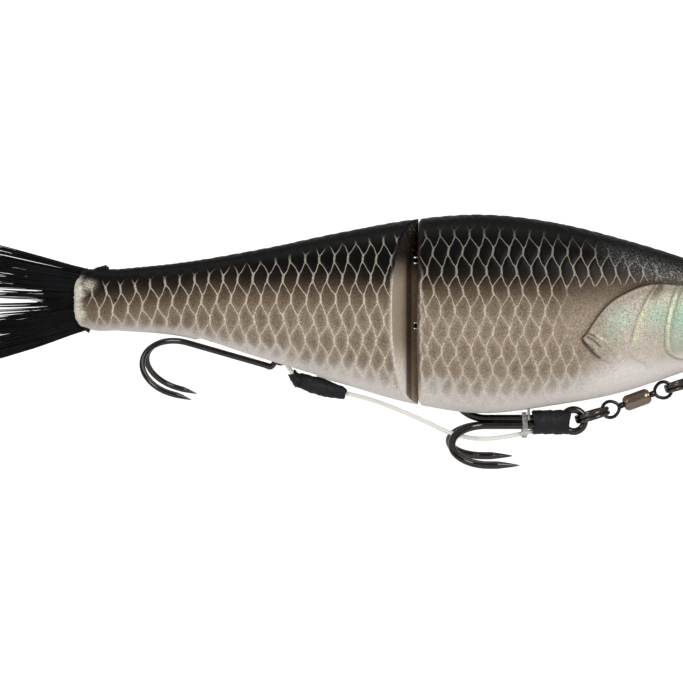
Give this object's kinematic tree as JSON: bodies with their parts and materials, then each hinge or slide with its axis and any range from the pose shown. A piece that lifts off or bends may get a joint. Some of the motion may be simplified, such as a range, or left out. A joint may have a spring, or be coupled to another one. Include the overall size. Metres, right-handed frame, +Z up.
{
  "type": "swimbait",
  "caption": "Jointed glide bait with a two-section scaled body, brush tail and a hook harness stowed under the belly.",
  "frame": {"origin": "centre of the line-tie loop at the nose", "axes": "+X out of the nose along the body, +Z up towards the back, +Y to the bait's left"},
  "size_m": [0.2327, 0.0358, 0.065],
  "materials": {
    "body_shell": "glossy, scale pattern",
    "stainless_wire": "drawn wire",
    "weight": "cast",
    "magnet": "plated",
    "iris": "printed foil",
    "lens": "clear dome",
    "root": "moulded",
    "bristle": "stiff bristles",
    "ring": "black nickel",
    "swivel": "black nickel",
    "hook": "black nickel",
    "sleeve": "shrunk tubing",
    "band": "translucent silicone",
    "cord": "braided"
  },
  "bodies": {
    "front_section": {"front_shell_left": "body_shell", "front_shell_right": "body_shell", "line_tie_wire": "stainless_wire", "upper_hinge_eye": "stainless_wire", "lower_hinge_eye": "stainless_wire", "front_ballast": "weight", "front_hook_magnet": "magnet", "keeper_wire": "stainless_wire", "iris_foil_left": "iris", "iris_foil_right": "iris", "eye_lens_left": "lens", "eye_lens_right": "lens"},
    "rear_section": {"rear_shell_left": "body_shell", "rear_shell_right": "body_shell", "hinge_pin": "stainless_wire", "rear_ballast": "weight", "rear_hook_magnet": "magnet", "tail_root": "root", "tail_brush": "bristle"},
    "chin_ring": {"chin_split_ring": "ring"},
    "swivel": {"swivel_head_eye": "swivel", "swivel_tail_eye": "swivel"},
    "barrel": {"swivel_barrel": "swivel"},
    "harness_ring": {"harness_split_ring": "ring"},
    "front_hook": {"front_treble": "hook", "front_shrink_tube": "sleeve", "keeper_band": "band", "assist_cord": "cord"},
    "rear_link": {"rear_shrink_tube": "sleeve", "cord_loop": "cord"},
    "rear_hook": {"rear_double_hook": "hook"}
  },
  "joints": [
    {"name": "glide_joint", "type": "hinge", "parent": "front_section", "child": "rear_section", "pos_m": [-0.1066, 0, 0], "axis": [0, 0, 1], "range_deg": [-24, 24]},
    {"name": "chin_ring_swing", "type": "hinge", "parent": "front_section", "child": "chin_ring", "pos_m": [-0.031, 0, -0.0157], "axis": [0, -1, 0], "range_deg": [0, 60]},
    {"name": "swivel_swing", "type": "hinge", "parent": "chin_ring", "child": "swivel", "pos_m": [-0.0406, 0, -0.0187], "axis": [0, -1, 0], "range_deg": [0, 20]},
    {"name": "barrel_spin", "type": "hinge", "parent": "swivel", "child": "barrel", "pos_m": [-0.04755, 0, -0.02125], "axis": [-0.9388, 0, -0.3445], "continuous": true},
    {"name": "harness_ring_swing", "type": "hinge", "parent": "swivel", "child": "harness_ring", "pos_m": [-0.0545, 0, -0.0238], "axis": [0, -1, 0], "range_deg": [0, 25]},
    {"name": "front_hook_swing", "type": "hinge", "parent": "harness_ring", "child": "front_hook", "pos_m": [-0.064, 0, -0.0267], "axis": [0, -1, 0], "range_deg": [0, 35]},
    {"name": "cord_bend", "type": "hinge", "parent": "front_hook", "child": "rear_link", "pos_m": [-0.1066, 0, 0], "axis": [0, 0, 1], "range_deg": [-24, 24], "deforming": ["assist_cord"]},
    {"name": "rear_hook_swing", "type": "hinge", "parent": "rear_link", "child": "rear_hook", "pos_m": [-0.1402, 0, -0.0099], "axis": [0, -1, 0], "range_deg": [0, 40]}
  ],
  "couplings": [
    {"joint": "cord_bend", "follows": "glide_joint", "ratio": 1}
  ]
}
